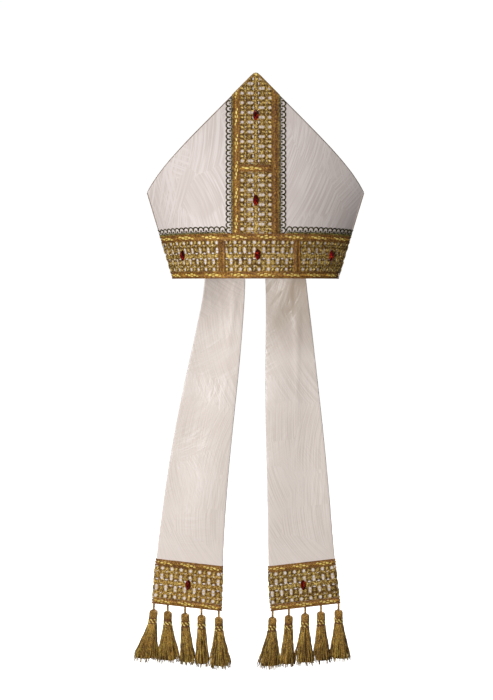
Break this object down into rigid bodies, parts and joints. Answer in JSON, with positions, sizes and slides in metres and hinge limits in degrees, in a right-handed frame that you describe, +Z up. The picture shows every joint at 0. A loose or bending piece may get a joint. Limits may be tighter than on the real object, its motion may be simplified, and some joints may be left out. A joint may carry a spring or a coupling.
{
  "type": "bishop mitre",
  "caption": "Two stiffened white cloth panels that rise to points over a gold-trimmed rim, with two tasselled lappets hanging from the back of the rim.",
  "frame": {"origin": "middle of the rim's lower edge, where the mitre sits on a head", "axes": "+Z up along the hat, +Y from the front panel to the back one, +X to the right as seen from the front"},
  "size_m": [0.328, 0.1474, 0.8459],
  "materials": {
    "white_damask": "white damask with woven brush strokes, satin",
    "fold_cloth": "plain white cloth, matt",
    "gold_lace": "gold thread, semi-gloss",
    "gold_braid": "woven gold and copper thread, semi-gloss",
    "edging_thread": "dark gold thread, matt",
    "red_stone": "cut red glass, polished",
    "tassel_thread": "gold thread, semi-gloss"
  },
  "bodies": {
    "root": {"back_panel": "white_damask", "band_braid_bottom": "gold_braid", "band_braid_top": "gold_braid", "band_divider_back_left": "gold_braid", "band_divider_back_right": "gold_braid", "band_divider_front_left": "gold_braid", "band_divider_front_right": "gold_braid", "band_edging_left": "edging_thread", "band_edging_right": "edging_thread", "band_lace": "gold_lace", "band_stone_back_left": "red_stone", "band_stone_back_middle": "red_stone", "band_stone_back_right": "red_stone", "band_stone_front_left": "red_stone", "band_stone_front_middle": "red_stone", "band_stone_front_right": "red_stone", "front_panel": "white_damask", "lappet_braid_left_lower": "gold_braid", "lappet_braid_left_upper": "gold_braid", "lappet_braid_right_lower": "gold_braid", "lappet_braid_right_upper": "gold_braid", "lappet_lace_left": "gold_lace", "lappet_lace_right": "gold_lace", "lappet_left": "white_damask", "lappet_right": "white_damask", "lappet_stone_left_back": "red_stone", "lappet_stone_left_front": "red_stone", "lappet_stone_right_back": "red_stone", "lappet_stone_right_front": "red_stone", "tassel_left_1": "tassel_thread", "tassel_left_2": "tassel_thread", "tassel_left_3": "tassel_thread", "tassel_left_4": "tassel_thread", "tassel_left_5": "tassel_thread", "tassel_right_1": "tassel_thread", "tassel_right_2": "tassel_thread", "tassel_right_3": "tassel_thread", "tassel_right_4": "tassel_thread", "tassel_right_5": "tassel_thread", "top_fold": "fold_cloth", "upright_braid_back_left": "gold_braid", "upright_braid_back_right": "gold_braid", "upright_braid_front_left": "gold_braid", "upright_braid_front_right": "gold_braid", "upright_crossbar_back": "gold_braid", "upright_crossbar_front": "gold_braid", "upright_edging_back_left": "edging_thread", "upright_edging_back_right": "edging_thread", "upright_edging_front_left": "edging_thread", "upright_edging_front_right": "edging_thread", "upright_lace_back": "gold_lace", "upright_lace_front": "gold_lace", "upright_stone_back_lower": "red_stone", "upright_stone_back_upper": "red_stone", "upright_stone_front_lower": "red_stone", "upright_stone_front_upper": "red_stone"}
  },
  "joints": []
}
